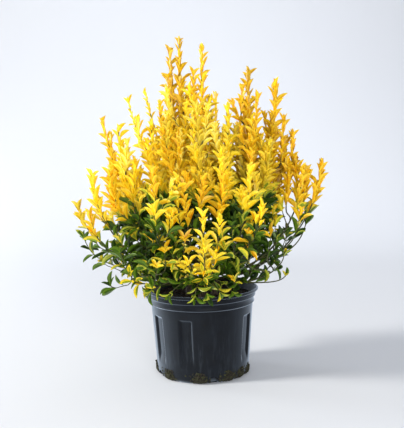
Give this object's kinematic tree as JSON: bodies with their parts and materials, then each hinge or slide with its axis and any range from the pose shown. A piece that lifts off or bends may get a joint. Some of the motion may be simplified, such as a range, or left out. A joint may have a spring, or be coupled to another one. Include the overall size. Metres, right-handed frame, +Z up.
{
  "type": "potted japanese spindle",
  "caption": "Bushy evergreen spindle shrub with upright golden-leaved shoots over darker green leaves, growing in a round black plastic nursery pot that stands on its flat underside.",
  "frame": {"origin": "middle of the pot's flat underside, on the surface it stands on", "axes": "+Z straight up along the pot's axis; +Y points away from the viewer of the picture; +X is the viewer's right"},
  "size_m": [0.5419, 0.437, 0.7189],
  "materials": {
    "pot_plastic": "matt black moulded polypropylene, dusty, greyer where light skims it",
    "growing_medium": "moist peat with bark chips",
    "stem_bark": "matt grey-brown bark with fine cracks",
    "shoot_bark": "smooth olive-green young bark",
    "golden_foliage": "satin leaves, golden yellow with green in the older ones",
    "green_foliage": "satin leaves, dark green with yellow margins, golden at the shoots' tips"
  },
  "bodies": {
    "root": {"pot": "pot_plastic", "growing_medium": "growing_medium", "stem_left": "stem_bark", "stem_front": "stem_bark", "stem_right": "stem_bark", "stem_rear": "stem_bark", "bough_tall_left": "shoot_bark", "bough_tall_behind": "shoot_bark", "bough_tall_middle": "shoot_bark", "bough_high_right_behind": "shoot_bark", "bough_high_right": "shoot_bark", "bough_mid_right": "shoot_bark", "bough_middle_behind": "shoot_bark", "bough_middle_front": "shoot_bark", "bough_high_left_behind": "shoot_bark", "bough_far_left_behind": "shoot_bark", "bough_far_left": "shoot_bark", "bough_left_front": "shoot_bark", "bough_outer_left": "shoot_bark", "bough_arching_left": "shoot_bark", "bough_outer_right": "shoot_bark", "bough_outer_right_front": "shoot_bark", "bough_front_low": "shoot_bark", "bough_brow_1": "shoot_bark", "bough_brow_2": "shoot_bark", "bough_brow_3": "shoot_bark", "bough_skirt_1": "shoot_bark", "bough_skirt_2": "shoot_bark", "bough_skirt_3": "shoot_bark", "bough_skirt_4": "shoot_bark", "bough_back_1": "shoot_bark", "bough_back_2": "shoot_bark", "bough_back_3": "shoot_bark", "tall_left": "golden_foliage", "tall_behind": "golden_foliage", "tall_middle": "golden_foliage", "high_right_behind": "golden_foliage", "high_right": "golden_foliage", "mid_right": "golden_foliage", "middle_behind": "golden_foliage", "middle_front": "golden_foliage", "high_left_behind": "golden_foliage", "far_left_behind": "golden_foliage", "far_left": "golden_foliage", "left_front": "golden_foliage", "outer_left": "golden_foliage", "arching_left": "golden_foliage", "outer_right": "golden_foliage", "outer_right_front": "golden_foliage", "front_low": "golden_foliage", "brow_1": "golden_foliage", "brow_2": "golden_foliage", "brow_3": "golden_foliage", "skirt_1": "green_foliage", "skirt_2": "green_foliage", "skirt_3": "green_foliage", "skirt_4": "green_foliage", "back_1": "golden_foliage", "back_2": "golden_foliage", "back_3": "golden_foliage"}
  },
  "joints": []
}
